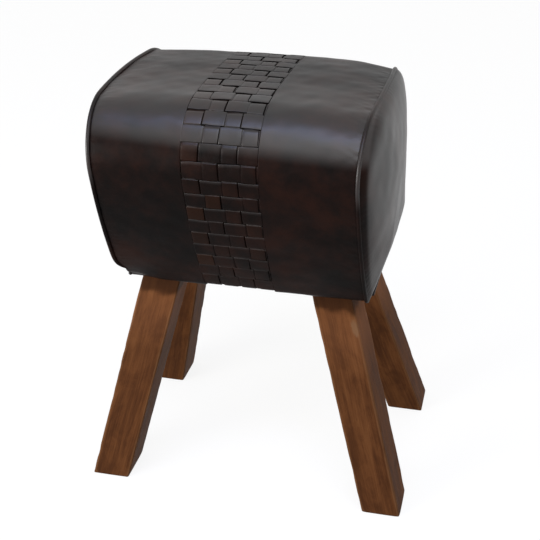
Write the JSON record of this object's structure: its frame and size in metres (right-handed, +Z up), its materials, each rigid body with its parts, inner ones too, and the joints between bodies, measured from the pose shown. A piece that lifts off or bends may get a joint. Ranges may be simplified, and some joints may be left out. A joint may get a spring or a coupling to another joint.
{
  "type": "bar stool",
  "caption": "Backless bar stool with a deep padded leather block seat, a woven leather band round its middle, and splayed square wooden legs.",
  "frame": {"origin": "on the floor, under the middle of the seat and of the four feet", "axes": "+X along the seat from left to right, +Y from the front to the rear, +Z up"},
  "size_m": [0.5432, 0.355, 0.682],
  "materials": {
    "leather": "dark brown, waxed, soft sheen",
    "woven_leather": "dark brown, waxed, varied from strip to strip",
    "leg_wood": "brown stained hardwood, satin",
    "plywood": "bare",
    "foam": "open cell foam",
    "lining_cloth": "woven cotton",
    "black_cloth": "spun cloth, matte",
    "zinc_steel": "zinc plated"
  },
  "bodies": {
    "root": {"band_lining": "lining_cloth", "base_board": "plywood", "carcass_screws": "zinc_steel", "cross_strips": "woven_leather", "dust_cover": "black_cloth", "front_board": "plywood", "front_foam": "foam", "front_left_leg": "leg_wood", "front_right_leg": "leg_wood", "left_body_leather": "leather", "left_end_board": "plywood", "left_end_foam": "foam", "left_end_leather": "leather", "left_piping": "leather", "leg_bolts": "zinc_steel", "leg_nuts": "zinc_steel", "leg_washers": "zinc_steel", "rear_board": "plywood", "rear_foam": "foam", "rear_left_leg": "leg_wood", "rear_right_leg": "leg_wood", "right_body_leather": "leather", "right_end_board": "plywood", "right_end_foam": "foam", "right_end_leather": "leather", "right_piping": "leather", "top_board": "plywood", "top_foam": "foam", "woven_strap_1": "woven_leather", "woven_strap_2": "woven_leather", "woven_strap_3": "woven_leather", "woven_strap_4": "woven_leather"}
  },
  "joints": []
}
